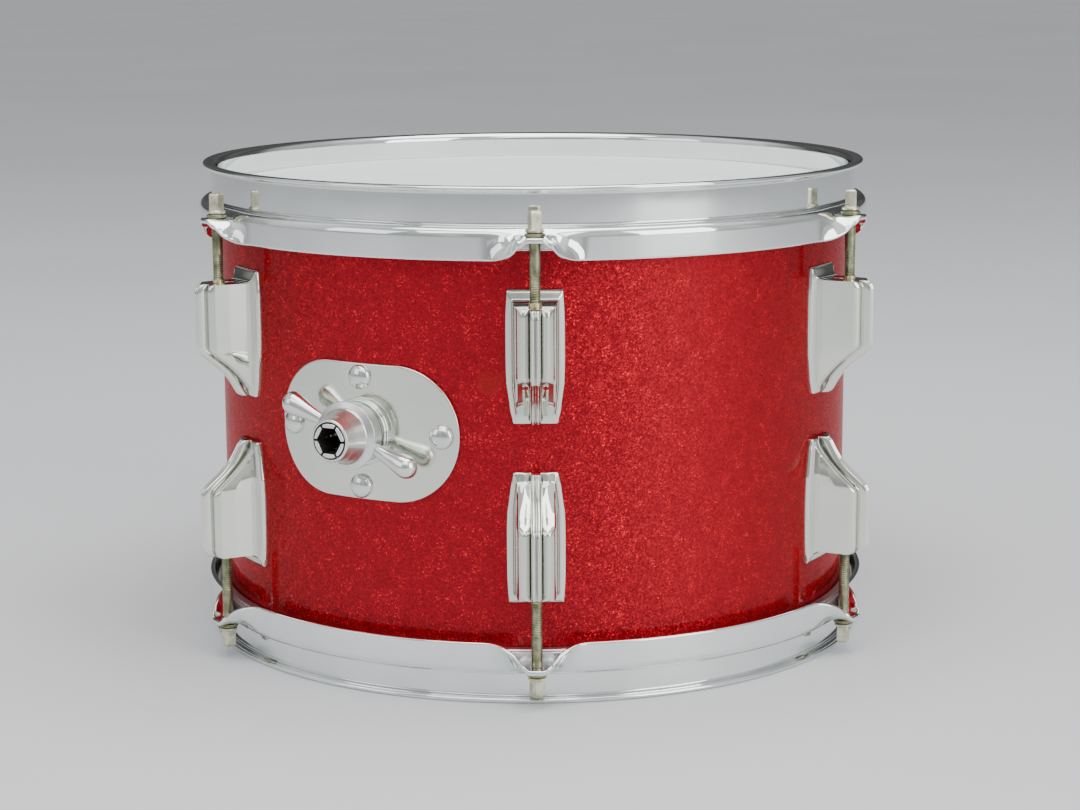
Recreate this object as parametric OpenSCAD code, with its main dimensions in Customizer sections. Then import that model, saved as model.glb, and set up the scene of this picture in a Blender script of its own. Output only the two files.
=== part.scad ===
// Twelve by eight inch tom tom drum with six lugs a head, pressed hoops and a collet arm mount.
// +Z is the drum's axis. The origin is the centre of the lower hoop's lip, where the drum stands.

/* [Shell] */
// Outer diameter of the bare wooden shell
shell_d = 303.4; // [303:0.1:304]
// Depth of the shell from bearing edge to bearing edge
shell_h = 203.2; // [196:0.2:212]
// Thickness of the plies
shell_t = 5; // [4:0.5:6]
// Radial thickness of the reinforcement rings
ring_t = 4.5; // [3:0.5:6]
// Height of the reinforcement rings
ring_h = 37; // [25:1:37]
// Thickness of the sparkle wrap
wrap_t = 0.6; // [0.4:0.1:0.6]

/* [Heads] */
// Height of the lower head above the lower hoop's lip
resonant_rise = 12.1; // [11:0.1:13]
// Height of the upper hoop's lip above the batter head
batter_rise = 12.6; // [12:0.1:14]
// Thickness of the head film
film_t = 0.3; // [0.25:0.05:0.4]
// Depth of the channel ring that grips the film
flesh_h = 8.4; // [6:0.1:9]
// Radial width of the channel ring
flesh_w = 5.4; // [4.6:0.2:5.6]

/* [Hoops] */
// Thickness of the pressed steel
hoop_t = 2.3; // [1.6:0.1:2.3]
// Outer radius of the wall next to the playing surface
wall_r = 155.9; // [155.7:0.1:156.1]
// Outer radius of the turned lip
lip_r = 159.9; // [159:0.1:161]
// Outer radius of the skirt that hides the channel ring
skirt_r = 161.8; // [161.4:0.1:162]
// Depth of the skirt
skirt_h = 14.1; // [12:0.1:15]
// Height of the upper hoop's lip above its ledge
batter_wall_h = 17.1; // [16:0.1:18]
// Height of the lower hoop's lip above its ledge
resonant_wall_h = 13.3; // [12.5:0.1:14]
// Drop from the ledge to the outer face of an ear
ear_drop = 3.4; // [2.6:0.1:4]
// Radius of an ear's rounded end
ear_r = 6.4; // [6:0.1:7]

/* [Tension rods] */
// Radius of the circle that the rods stand on
rod_circle_r = 166.8; // [166.4:0.1:167.2]
// Diameter of the rods
rod_d = 4.8; // [4.5:0.1:5]
// Length of a rod below its collar
rod_len = 50.8; // [46:0.2:52]
// Width of the square head
head_w = 5; // [4.6:0.1:5.4]
// Height of the square head
head_h = 7.7; // [7:0.1:7.8]
// Diameter of the round collar
collar_d = 8.2; // [7.6:0.1:8.6]
// Thickness of the round collar
collar_t = 2.1; // [1.6:0.1:2.2]
// Outer diameter of the rod washers
washer_d = 9; // [8.6:0.1:9.6]
// Thickness of the rod washers
washer_t = 1.5; // [1.2:0.1:1.6]

/* [Lugs] */
// Number of lugs round each head
lug_count = 6; // [6]
// Height of the lug's base flange
lug_h = 59.4; // [56:0.2:60]
// Width of the flange at its middle
lug_w = 26.3; // [24:0.1:27]
// Distance from the wrap to the lug's front face
lug_reach = 26.1; // [25.5:0.1:28.5]
// Distance from the wrap to the front of the two side lobes
lug_lobe_reach = 22.2; // [21.8:0.1:23.5]
// Width of the ribbed body
lug_body_w = 16.6; // [15:0.1:17]
// Distance of a lug's centre from the middle of the shell
lug_offset = 40.2; // [36:0.2:41]

/* [Arm mount] */
// Angle of the mount round the shell from the front lug
mount_az = -30; // [-30, 30]
// Height of the mount above the middle of the shell
mount_lift = 4; // [0:0.5:4]
// Length of the plate round the shell
plate_w = 94.4; // [90:0.2:96]
// Height of the plate
plate_h = 61.2; // [58:0.2:64]
// Thickness of the plate
plate_t = 2; // [1.5:0.1:2.5]
// Distance across the flats of the hexagonal arm opening
hex_af = 11.2; // [10.6:0.1:11.4]
// Distance from the plate to the mouth of the collet
collet_reach = 25.2; // [24.8:0.1:27]
// Distance from the nut's axis to the middle of a wing's round end
wing_r = 31.5; // [28:0.5:32]

/* [Hidden] */
$fn = 96;

gap = 0.05;
lug_step = 360 / lug_count;
shell_r = shell_d / 2;
inner_r = shell_r - shell_t;
wrap_r = shell_r + wrap_t;
shell_z0 = resonant_rise;
shell_z1 = shell_z0 + shell_h;
shell_mid = (shell_z0 + shell_z1) / 2;
drum_h = shell_z1 + batter_rise;
edge_flat = 1.5;
flesh_r = wrap_r + film_t + 0.3;
lip_t = 2.4;

// Heights of the ledges, the ears and the rod collars, seen from the floor
batter_ledge_z = drum_h - batter_wall_h;
resonant_ledge_z = resonant_wall_h;
batter_ear_z = batter_ledge_z - ear_drop;
resonant_ear_z = resonant_ledge_z + ear_drop;
batter_collar_z = batter_ear_z + washer_t;
resonant_collar_z = resonant_ear_z - washer_t;

lug_top_z = shell_mid + lug_offset + lug_h / 2;
lug_bottom_z = shell_mid - lug_offset - lug_h / 2;
lug_body_top = 6.1;
bead_w = 4.9;
lug_wall = 2.2;
lug_screw_z = [17, 44];
lug_screw_r = 2.1;
nut_neck_r = 3;
nut_body_r = 4.4;
nut_bore_r = rod_d / 2 + gap;

mount_z = shell_mid + mount_lift;
plate_r = wrap_r + gap + plate_t;
bolt_rise = 24.5;
bolt_turn = 14.6;
bolt_dome_r = 5.5;
bolt_shank_r = 2.4;
body_tube_r = 10.5;
body_bore_r = 8;
hex_r = hex_af / 2 / cos(30);
vent_az = 150;
vent_r = 5;

// Moves a shape drawn along +X out from the axis to its angle round the drum, where 0 is the front
module at_az(az) rotate([0, 0, az - 90]) children();

// A cylinder that points out from the drum's axis
module radial_cylinder(r, from_r, to_r) {
    translate([from_r, 0, 0]) rotate([0, 90, 0]) cylinder(r = r, h = to_r - from_r);
}

module tube(r_out, r_in, z0, z1) {
    translate([0, 0, z0]) difference() {
        cylinder(r = r_out, h = z1 - z0, $fn = 180);
        translate([0, 0, -1]) cylinder(r = r_in, h = z1 - z0 + 2, $fn = 180);
    }
}

// Turns a part of the upper half of the drum into its twin on the lower half
module from_floor(z) translate([0, 0, z]) mirror([0, 0, 1]) children();

// ---- Shell ----

// Every hole through the shell and its wrap
module shell_holes() {
    for (k = [0:lug_count - 1], h = lug_screw_z) {
        at_az(k * lug_step) translate([0, 0, lug_top_z - h])
            radial_cylinder(2.6, inner_r - 2, wrap_r + 2);
        at_az(k * lug_step) translate([0, 0, lug_bottom_z + h])
            radial_cylinder(2.6, inner_r - 2, wrap_r + 2);
    }
    at_az(mount_az) translate([0, 0, mount_z]) {
        mount_bolt_places() radial_cylinder(2.7, inner_r - 4, wrap_r + 4);
        radial_cylinder(body_tube_r + 0.3, inner_r - 4, wrap_r + 4);
    }
    at_az(vent_az) translate([0, 0, shell_mid]) radial_cylinder(vent_r + gap, inner_r - 2, wrap_r + 2);
}

module shell() color("burlywood") difference() {
    rotate_extrude($fn = 180) polygon([
        [inner_r, shell_z0 + 3], [shell_r - 2, shell_z0], [shell_r - edge_flat, shell_z0],
        [shell_r, shell_z0 + edge_flat], [shell_r, shell_z1 - edge_flat],
        [shell_r - edge_flat, shell_z1], [shell_r - 2, shell_z1], [inner_r, shell_z1 - 3]]);
    shell_holes();
}

module shell_wrap() color("crimson") difference() {
    tube(wrap_r, shell_r, shell_z0 + edge_flat + 1, shell_z1 - edge_flat - 1);
    shell_holes();
}

// Ring glued inside the end of the shell, cut back by the bearing edge
module reinforcement_ring() rotate_extrude($fn = 180) polygon([
    [inner_r, -3], [inner_r - ring_t, -3 - ring_t], [inner_r - ring_t, -ring_h], [inner_r, -ring_h]]);

module reinforcement_ring_top() color("tan") translate([0, 0, shell_z1]) reinforcement_ring();

module reinforcement_ring_bottom() color("tan") from_floor(shell_z0) reinforcement_ring();

// Plain eyelet that lines the air vent
module vent_grommet() color("goldenrod") at_az(vent_az) translate([0, 0, shell_mid])
    difference() {
        union() {
            radial_cylinder(vent_r, inner_r - 0.6, wrap_r + 1);
            difference() {
                radial_cylinder(vent_r + 3, wrap_r - 0.5, wrap_r + 1.2);
                translate([0, 0, -20]) cylinder(r = wrap_r + gap, h = 40, $fn = 180);
            }
        }
        radial_cylinder(vent_r - 1, inner_r - 2, wrap_r + 3);
    }

// ---- Heads ----

// Film of one head, with z = 0 where it lies on the bearing edge and its collar hanging below
module head_film(collar_h) {
    film_in = wrap_r + 0.2;
    film_out = film_in + film_t;
    edge_r = shell_r - edge_flat;
    bend = film_in - edge_r;
    rotate_extrude($fn = 180) polygon([
        [0, 0], [edge_r, 0], [film_in, -bend], [film_in, -collar_h], [film_out, -collar_h],
        [film_out, -bend + 0.15], [edge_r + 0.15, film_t], [0, film_t]]);
}

// Channel ring that grips the film, with z = 0 at the underside of the hoop's ledge
module flesh_hoop() rotate_extrude($fn = 180) polygon([
    [flesh_r, -flesh_h], [flesh_r + flesh_w - 0.8, -flesh_h], [flesh_r + flesh_w, -flesh_h + 0.8],
    [flesh_r + flesh_w, -0.8], [flesh_r + flesh_w - 0.8, 0], [flesh_r + 0.6, 0], [flesh_r, -0.6]]);

module batter_head() color("ghostwhite") translate([0, 0, shell_z1])
    head_film(shell_z1 - batter_ledge_z + hoop_t + flesh_h - 1);

module resonant_head() color("gainsboro") from_floor(shell_z0)
    head_film(resonant_ledge_z + hoop_t + flesh_h - shell_z0 - 1);

module batter_flesh_hoop() color("silver") translate([0, 0, batter_ledge_z - hoop_t]) flesh_hoop();

module resonant_flesh_hoop() color("silver") from_floor(resonant_ledge_z + hoop_t) flesh_hoop();

// ---- Hoops ----

// Outline of the tongue that carries a rod, seen along the drum's axis
module ear_outline() difference() {
    root_x = skirt_r - hoop_t / 2;
    union() {
        translate([rod_circle_r, 0]) circle(r = ear_r);
        polygon([[root_x, -9], [rod_circle_r, -ear_r], [rod_circle_r, ear_r], [root_x, 9]]);
    }
    translate([rod_circle_r, 0]) circle(r = rod_d / 2 + 0.6);
}

// Outline of the wave that lifts the skirt's edge up to an ear, seen from outside
module skirt_notch() {
    half = 15;
    flat = 4;
    foot = skirt_h + 0.5;
    rise = foot - ear_drop - hoop_t + 0.6;
    steps = 10;
    wave = [for (i = [0:steps]) let (u = i / steps)
        [flat + (half - flat) * u, -foot + rise * (1 + cos(180 * u)) / 2]];
    polygon(concat([[-half, -foot - 1], [half, -foot - 1]], [for (i = [steps:-1:0]) wave[i]],
        [for (p = wave) [-p[0], p[1]]]));
}

// Pressed hoop with z = 0 on top of its ledge and its lip wall_h above
module hoop(wall_h) {
    difference() {
        rotate_extrude($fn = 180) polygon([
            [wall_r - hoop_t, -hoop_t], [skirt_r - hoop_t, -hoop_t], [skirt_r - hoop_t, -skirt_h],
            [skirt_r, -skirt_h], [skirt_r, -2], [skirt_r - 2, 0], [wall_r + 1, 0], [wall_r, 1],
            [wall_r, wall_h - lip_t - 1], [wall_r + 1, wall_h - lip_t], [lip_r - 0.8, wall_h - lip_t],
            [lip_r, wall_h - lip_t + 0.8], [lip_r, wall_h - 0.8], [lip_r - 0.8, wall_h],
            [wall_r - 0.5, wall_h], [wall_r - hoop_t, wall_h - 2]]);
        for (k = [0:lug_count - 1]) at_az(k * lug_step)
            translate([skirt_r - hoop_t - 1, 0, 0]) rotate([90, 0, 90])
                linear_extrude(hoop_t + 3) skirt_notch();
    }
    for (k = [0:lug_count - 1]) at_az(k * lug_step)
        translate([0, 0, -ear_drop - hoop_t]) linear_extrude(hoop_t) ear_outline();
}

module batter_hoop() color("lightsteelblue") translate([0, 0, batter_ledge_z]) hoop(batter_wall_h);

module resonant_hoop() color("lightsteelblue")
    from_floor(resonant_ledge_z) hoop(resonant_wall_h);

// ---- Tension rods ----

// Rod with z = 0 at the underside of its collar
module tension_rod() translate([rod_circle_r, 0, 0]) {
    translate([0, 0, -rod_len + 0.8]) cylinder(r = rod_d / 2, h = rod_len - 0.8);
    translate([0, 0, -rod_len]) cylinder(r1 = rod_d / 2 - 0.8, r2 = rod_d / 2, h = 0.8);
    cylinder(r = collar_d / 2, h = collar_t);
    translate([-head_w / 2, -head_w / 2, collar_t]) cube([head_w, head_w, head_h]);
}

module tension_rod_top(k) color("khaki") at_az((k - 1) * lug_step)
    translate([0, 0, batter_collar_z]) tension_rod();

module tension_rod_bottom(k) color("khaki") at_az((k - 1) * lug_step)
    from_floor(resonant_collar_z) tension_rod();

module rod_washer() translate([rod_circle_r, 0, 0]) difference() {
    cylinder(r = washer_d / 2, h = washer_t);
    translate([0, 0, -1]) cylinder(r = rod_d / 2 + 0.3, h = washer_t + 2);
}

module rod_washers_top() color("darkkhaki") for (k = [0:lug_count - 1])
    at_az(k * lug_step) translate([0, 0, batter_ear_z]) rod_washer();

module rod_washers_bottom() color("darkkhaki") for (k = [0:lug_count - 1])
    at_az(k * lug_step) from_floor(resonant_ear_z) rod_washer();

// ---- Lugs ----

// Base flange seen from outside: a barrel outline, widest above its middle and narrowest at the tail
module flange_outline(inset) {
    half_w = lug_w / 2;
    share = (lug_h - 2 * inset) / lug_h;
    widths = [[0, 0.95], [6, 0.4], [14, 0], [30, 0], [41, 0.3], [45, 0.85], [54, 2.05], [lug_h, 3.05]];
    side = [for (w = widths) [half_w - w[1] - inset, -inset - w[0] * share]];
    last = len(side) - 1;
    polygon(concat(side, [for (i = [last:-1:0]) [-side[i][0], side[i][1]]]));
}

// Side profile of the two side lobes: a flat front, then a hollow slope down to the flange
module lobe_profile() polygon([
    [-1, -lug_body_top], [lug_lobe_reach - 1.4, -lug_body_top], [lug_lobe_reach - 0.4, -lug_body_top - 0.4],
    [lug_lobe_reach, -lug_body_top - 1.4], [lug_lobe_reach, -35.4], [lug_lobe_reach - 1, -37.2],
    [15.6, -42.3], [9.8, -47.8], [6, -53.4], [3.7, -57.2], [-1, -57.2]]);

// Side profile of the bead down the middle, which stands in front of the lobes
module bead_profile() polygon([
    [lug_lobe_reach - 9, -lug_body_top], [lug_reach - 3.4, -lug_body_top],
    [lug_reach - 1, -lug_body_top - 1], [lug_reach, -lug_body_top - 3.4], [lug_reach, -35],
    [lug_reach - 1, -37.9], [19.9, -42.3], [13.3, -48.1], [8.9, -54.7], [6.9, -58], [5.6, -58.8],
    [2.4, -58.8], [lug_lobe_reach - 9, -40]]);

module body_cavity_profile() polygon([
    [-2, -lug_body_top - lug_wall], [lug_lobe_reach - lug_wall, -lug_body_top - lug_wall],
    [lug_lobe_reach - lug_wall, -34.6], [13.5, -40.8], [8.2, -45.8], [4.6, -50.4], [-2, -50.4]]);

// Cast casing of one lug, with z = 0 at the end of the flange next to the hoop
module lug_casing() difference() {
    union() {
        translate([wrap_r - 1, 0, 0]) rotate([90, 0, 90]) linear_extrude(3.2) flange_outline(0);
        translate([wrap_r - 1, 0, 0]) rotate([90, 0, 90]) linear_extrude(4.6) flange_outline(1.6);
        translate([wrap_r, lug_body_w / 2, 0]) rotate([90, 0, 0])
            linear_extrude(lug_body_w) lobe_profile();
        translate([wrap_r, bead_w / 2, 0]) rotate([90, 0, 0]) linear_extrude(bead_w) bead_profile();
    }
    difference() {
        translate([wrap_r, lug_body_w / 2 - lug_wall, 0]) rotate([90, 0, 0])
            linear_extrude(lug_body_w - 2 * lug_wall) body_cavity_profile();
        translate([wrap_r - 3, -lug_body_w / 2, -lug_screw_z[0] - 3.6])
            cube([11.4, lug_body_w, 7.2]);
        translate([wrap_r - 3, -lug_body_w / 2, -lug_screw_z[1] - 3.6])
            cube([20, lug_body_w, 7.2]);
    }
    for (h = lug_screw_z) translate([0, 0, -h]) radial_cylinder(lug_screw_r + gap, wrap_r - 3, wrap_r + 9);
    translate([rod_circle_r, 0, -10]) cylinder(r = nut_neck_r + 0.1, h = 12);
    translate([0, 0, -lug_h - 2]) cylinder(r = wrap_r + gap, h = lug_h + 4, $fn = 180);
}

module lug_top(k) color("silver") at_az((k - 1) * lug_step)
    translate([0, 0, lug_top_z]) lug_casing();

module lug_bottom(k) color("silver") at_az((k - 1) * lug_step)
    from_floor(lug_bottom_z) lug_casing();

// Places children at every lug, as they lie in an upper lug
module at_each_lug() for (k = [0:lug_count - 1]) {
    at_az(k * lug_step) translate([0, 0, lug_top_z]) children();
    at_az(k * lug_step) from_floor(lug_bottom_z) children();
}

module swivel_nuts() color("goldenrod") at_each_lug() translate([rod_circle_r, 0, 0])
    difference() {
        union() {
            translate([0, 0, -18]) cylinder(r = nut_body_r, h = 18 - lug_body_top - lug_wall - gap);
            translate([0, 0, -10]) cylinder(r = nut_neck_r, h = 10 - lug_body_top + 1.8);
        }
        translate([0, 0, -20]) cylinder(r = nut_bore_r, h = 22);
    }

// Flat spring pressed into each casing under its swivel nut
module swivel_nut_clips() color("slategray") at_each_lug()
    translate([rod_circle_r, 0, -19]) difference() {
        translate([-4.8, -lug_body_w / 2 + lug_wall + gap, 0])
            cube([9.6, lug_body_w - 2 * lug_wall - 2 * gap, 0.9]);
        translate([0, 0, -1]) cylinder(r = 3, h = 3);
    }

screw_seat = inner_r - 0.12;

module lug_screws() color("gray") at_each_lug() for (h = lug_screw_z) translate([0, 0, -h]) {
    radial_cylinder(lug_screw_r, screw_seat - 1.2, wrap_r + 7.8);
    difference() {
        radial_cylinder(4, screw_seat - 3.6, screw_seat - 1);
        translate([screw_seat - 3.8, -3, -0.6]) cube([1.2, 6, 1.2]);
    }
}

module lug_screw_washers() color("dimgray") at_each_lug() for (h = lug_screw_z)
    translate([0, 0, -h]) difference() {
        radial_cylinder(5, screw_seat - 1, screw_seat);
        radial_cylinder(lug_screw_r + 0.1, screw_seat - 2, screw_seat + 1);
    }

// ---- Arm mount ----

// The four bolts stand above, below and on either side of the receiver
module mount_bolt_places() {
    for (s = [-1, 1]) translate([0, 0, s * bolt_rise]) children();
    for (s = [-1, 1]) rotate([0, 0, s * bolt_turn]) children();
}

module on_mount() at_az(mount_az) translate([0, 0, mount_z]) children();

// Oval of the plate seen from outside
module plate_outline() {
    end_r = 30;
    half_w = plate_r * sin(plate_w / 2 / plate_r * 180 / PI);
    for (x = [-1, 1], y = [-1, 1])
        translate([x * (half_w - end_r), y * (plate_h / 2 - end_r)]) circle(r = end_r);
    square([2 * half_w, plate_h - 2 * end_r], center = true);
    square([2 * (half_w - end_r), plate_h], center = true);
}

module mount_plate() color("gainsboro") on_mount() difference() {
    intersection() {
        translate([wrap_r - 12, 0, 0]) rotate([90, 0, 90]) linear_extrude(18) plate_outline();
        translate([0, 0, -plate_h]) cylinder(r = plate_r, h = 2 * plate_h, $fn = 180);
    }
    translate([0, 0, -plate_h - 1]) cylinder(r = wrap_r + gap, h = 2 * plate_h + 2, $fn = 180);
    mount_bolt_places() radial_cylinder(2.7, wrap_r - 6, plate_r + 4);
    radial_cylinder(body_tube_r + 0.3, wrap_r - 6, plate_r + 4);
}

// Dome-headed bolts that pass through the plate and the shell
module mount_bolts() color("silver") on_mount() mount_bolt_places() {
    radial_cylinder(bolt_shank_r, inner_r - 7, plate_r + 0.5);
    translate([plate_r - 1, 0, 0]) rotate([0, 90, 0]) rotate_extrude() intersection() {
        translate([0, -2.2]) circle(r = 7);
        translate([0, 1.2]) square([bolt_dome_r, 8]);
    }
}

module mount_bolt_washers() color("dimgray") on_mount() mount_bolt_places() difference() {
    radial_cylinder(5.5, screw_seat - 1.1, screw_seat);
    radial_cylinder(bolt_shank_r + 0.2, screw_seat - 2, screw_seat + 1);
}

// Turns an upright shape so that it points out from the drum's axis
module lie_radial(from_r) translate([from_r, 0, 0]) rotate([0, 90, 0]) children();

module mount_bolt_nuts() color("gray") on_mount() mount_bolt_places()
    lie_radial(screw_seat - 4.8) difference() {
        cylinder(r = 4.6, h = 3.6, $fn = 6);
        translate([0, 0, -1]) cylinder(r = bolt_shank_r + 0.02, h = 6);
    }

// Threaded sleeve with a grooved foot that sits on the plate
module receiver_body() color("lightsteelblue") on_mount() difference() {
    lie_radial(plate_r) rotate_extrude() polygon([
        [0, -15.5], [body_tube_r, -15.5], [body_tube_r, -2], [15.3, -2], [15.3, 1.6], [14.4, 1.6],
        [14.4, 2.2], [15, 2.2], [15, 3.2], [12.8, 3.2], [12.8, 11.4], [0, 11.4]]);
    difference() {
        translate([0, 0, -20]) cylinder(r = plate_r + gap, h = 40, $fn = 180);
        radial_cylinder(body_tube_r, plate_r - 20, plate_r + 4);
    }
    radial_cylinder(body_bore_r, plate_r - 20, plate_r + 14);
}

// Ring between the shell's round inner wall and the flat lock nut
module receiver_saddle() color("dimgray") on_mount() difference() {
    intersection() {
        radial_cylinder(15.8, inner_r - 3.2, inner_r + 2);
        translate([0, 0, -20]) cylinder(r = inner_r - gap, h = 40, $fn = 180);
    }
    radial_cylinder(body_tube_r + 0.2, inner_r - 5, inner_r + 4);
}

module receiver_lock_nut() color("gray") on_mount() lie_radial(inner_r - 7.3) difference() {
    cylinder(r = 15.6, h = 4, $fn = 6);
    translate([0, 0, -1]) cylinder(r = body_tube_r + 0.02, h = 6);
}

// Split sleeve that closes on the hexagonal arm
module collet() color("lightgray") on_mount() difference() {
    lie_radial(plate_r) rotate_extrude() polygon([
        [0, -15], [body_bore_r - gap, -15], [body_bore_r - gap, 11.6], [8.8, 12.8], [8.8, 13.6],
        [7.7, 23], [7.7, collet_reach - 0.4], [7.3, collet_reach], [0, collet_reach]]);
    lie_radial(plate_r - 16) rotate([0, 0, 90]) cylinder(r = hex_r, h = 60, $fn = 6);
    for (k = [0:2]) translate([plate_r + 7, 0, 0]) rotate([60 * k, 0, 0])
        translate([0, -20, -0.4]) cube([30, 40, 0.8]);
}

// Cone-faced nut with two teardrop wings, which squeezes the collet shut
module wing_nut() color("silver") on_mount() difference() {
    union() {
        lie_radial(plate_r) rotate_extrude() polygon([
            [10, 4.4], [14.1, 4.4], [14.1, 10.2], [15.3, 10.6], [15.3, 12.2], [13.2, 12.8],
            [11.4, 15.5], [10, 19.5], [9.2, 24.4], [8.6, 24.8], [8, 24.8], [8, 12]]);
        for (s = [0, 180]) translate([plate_r + 8.9, 0, 0]) rotate([158.6 + s, 0, 0])
            rotate([-90, 0, 0]) wing();
    }
    lie_radial(plate_r) rotate_extrude() polygon([
        [0, 3], [12.86, 3], [12.86, 12], [9.3, 12.6], [9.3, 13.8], [8.15, 23.2], [8.15, 26], [0, 26]]);
}

// Teardrop wing that grows along +Z from the nut's axis
module wing() rotate_extrude() {
    polygon([[0, 13.3], [2.5, 13.3], [5.1, wing_r - 1], [0, wing_r - 1]]);
    intersection() {
        translate([0, wing_r]) circle(r = 5.3);
        translate([0, wing_r - 1.4]) square([6, 8]);
    }
}

// ---- Parts ----

shell();
shell_wrap();
reinforcement_ring_top();
reinforcement_ring_bottom();
vent_grommet();
batter_head();
batter_flesh_hoop();
batter_hoop();
resonant_head();
resonant_flesh_hoop();
resonant_hoop();
for (k = [1:6]) {
    lug_top(k);
    lug_bottom(k);
    tension_rod_top(k);
    tension_rod_bottom(k);
}
rod_washers_top();
rod_washers_bottom();
swivel_nuts();
swivel_nut_clips();
lug_screws();
lug_screw_washers();
mount_plate();
mount_bolts();
mount_bolt_washers();
mount_bolt_nuts();
receiver_body();
receiver_saddle();
receiver_lock_nut();
collet();
wing_nut();
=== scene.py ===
"""Looks of a twelve by eight inch tom tom drum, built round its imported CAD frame.

Shapes are drawn in millimetres. A shape that belongs at an angle round the drum is drawn along +X.
"""
import math

import bmesh
import bpy
from mathutils import Matrix, Vector


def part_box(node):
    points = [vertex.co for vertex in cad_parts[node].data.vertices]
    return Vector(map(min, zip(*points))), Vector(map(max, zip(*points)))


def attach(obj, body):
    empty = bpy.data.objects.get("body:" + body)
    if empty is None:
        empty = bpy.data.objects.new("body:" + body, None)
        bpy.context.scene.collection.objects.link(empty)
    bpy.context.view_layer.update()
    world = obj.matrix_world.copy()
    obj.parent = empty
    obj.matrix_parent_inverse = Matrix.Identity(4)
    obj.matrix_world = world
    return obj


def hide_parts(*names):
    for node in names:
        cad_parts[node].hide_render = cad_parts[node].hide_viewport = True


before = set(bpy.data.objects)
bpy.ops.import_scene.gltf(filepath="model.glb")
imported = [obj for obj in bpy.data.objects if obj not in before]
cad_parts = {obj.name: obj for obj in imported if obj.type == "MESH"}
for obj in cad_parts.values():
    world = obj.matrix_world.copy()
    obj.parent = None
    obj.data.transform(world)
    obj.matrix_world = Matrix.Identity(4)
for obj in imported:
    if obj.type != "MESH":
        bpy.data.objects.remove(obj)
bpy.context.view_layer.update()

MM = 0.001

# ---- Driving sizes, read from the frame where it has them ----


def top_of(node):
    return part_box(node)[1].z / MM


def bottom_of(node):
    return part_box(node)[0].z / MM


DRUM_H = top_of("batter_hoop")
WRAP_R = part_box("shell_wrap")[1].x / MM
WRAP_T = 0.6
SHELL_R = WRAP_R - WRAP_T
INNER_R = SHELL_R - 5
SHELL_LOW = bottom_of("shell")
SHELL_HIGH = top_of("shell")
SHELL_MID = (SHELL_LOW + SHELL_HIGH) / 2
LUG_STEP = 60
SIDES = 6

HOOP_T = 2.3
HOOP_WALL_R = 155.9
HOOP_LIP_R = 159.9
HOOP_SKIRT_R = 161.8
BATTER_WALL_H = 17.1
RESONANT_WALL_H = 13.3
BATTER_LEDGE = DRUM_H - BATTER_WALL_H
RESONANT_LEDGE = RESONANT_WALL_H
EAR_DROP = 3.4

ROD_CIRCLE_R = 166.8
ROD_R = 2.4
ROD_HOLE_R = 3.1
WASHER_T = 1.5
BATTER_COLLAR = BATTER_LEDGE - EAR_DROP + WASHER_T
RESONANT_COLLAR = RESONANT_LEDGE + EAR_DROP - WASHER_T

LUG_H = 59.4
LUG_HIGH = top_of("lug_top_1")
LUG_LOW = bottom_of("lug_bottom_1")

MOUNT_AZ = -30
MOUNT_Z = (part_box("mount_plate")[0].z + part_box("mount_plate")[1].z) / 2 / MM
PLATE_T = 2
PLATE_R = WRAP_R + 0.05 + PLATE_T
BOLT_RISE = 24.5
BOLT_TURN = 14.6
VENT_AZ = 150
VENT_HOLE_R = 5

# ---- Places ----


def at_az(azimuth):
    """Turns a shape drawn along +X to its angle round the drum, where 0 is the front."""
    return Matrix.Rotation(math.radians(azimuth - 90), 4, "Z")


def lifted(z):
    return Matrix.Translation((0, 0, z))


def from_floor(z):
    """Turns a shape of the upper half into its twin on the lower half."""
    return lifted(z) @ Matrix.Diagonal((1, 1, -1, 1))


def pushed_out(radius):
    return Matrix.Translation((radius, 0, 0))


def facing_out(radius):
    """Turns an upright shape so that its +Z points out from the drum's axis."""
    return pushed_out(radius) @ Matrix.Rotation(math.pi / 2, 4, "Y")


def on_mount(radius):
    return at_az(MOUNT_AZ) @ lifted(MOUNT_Z) @ facing_out(radius)


# ---- Curves and meshes ----


def curve(points, x):
    """Smooth curve through (x, y) points that never overshoots them."""
    if x <= points[0][0]:
        return points[0][1]
    for i in range(len(points) - 1):
        if x <= points[i + 1][0]:
            break
    else:
        return points[-1][1]

    def slope(k):
        if k <= 0 or k >= len(points) - 1:
            k = min(max(k, 0), len(points) - 2)
            return (points[k + 1][1] - points[k][1]) / (points[k + 1][0] - points[k][0])
        before = (points[k][1] - points[k - 1][1]) / (points[k][0] - points[k - 1][0])
        after = (points[k + 1][1] - points[k][1]) / (points[k + 1][0] - points[k][0])
        return 0 if before * after <= 0 else 2 * before * after / (before + after)

    (x0, y0), (x1, y1) = points[i], points[i + 1]
    h = x1 - x0
    t = (x - x0) / h
    m0, m1 = slope(i) * h, slope(i + 1) * h
    return (
        (2 * t**3 - 3 * t**2 + 1) * y0
        + (t**3 - 2 * t**2 + t) * m0
        + (-2 * t**3 + 3 * t**2) * y1
        + (t**3 - t**2) * m1
    )


def rounded(corners, closed=True, turn=15):
    """Outline of (x, y, radius) corners, with an arc of that radius at each."""
    outline = []
    count = len(corners)
    for i, (x, y, radius) in enumerate(corners):
        here = Vector((x, y))
        if radius <= 0 or (not closed and i in (0, count - 1)):
            outline.append((x, y))
            continue
        to_last = (Vector(corners[i - 1][:2]) - here).normalized()
        to_next = (Vector(corners[(i + 1) % count][:2]) - here).normalized()
        half = to_last.angle(to_next) / 2
        centre = here + (to_last + to_next).normalized() * (radius / math.sin(half))
        first = here + to_last * (radius / math.tan(half)) - centre
        last = here + to_next * (radius / math.tan(half)) - centre
        start = math.atan2(first.y, first.x)
        sweep = math.atan2(last.y, last.x) - start
        sweep -= 2 * math.pi * round(sweep / (2 * math.pi))
        steps = max(2, math.ceil(abs(math.degrees(sweep)) / turn))
        for k in range(steps + 1):
            a = start + sweep * k / steps
            outline.append((centre.x + radius * math.cos(a), centre.y + radius * math.sin(a)))
    return outline


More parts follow.
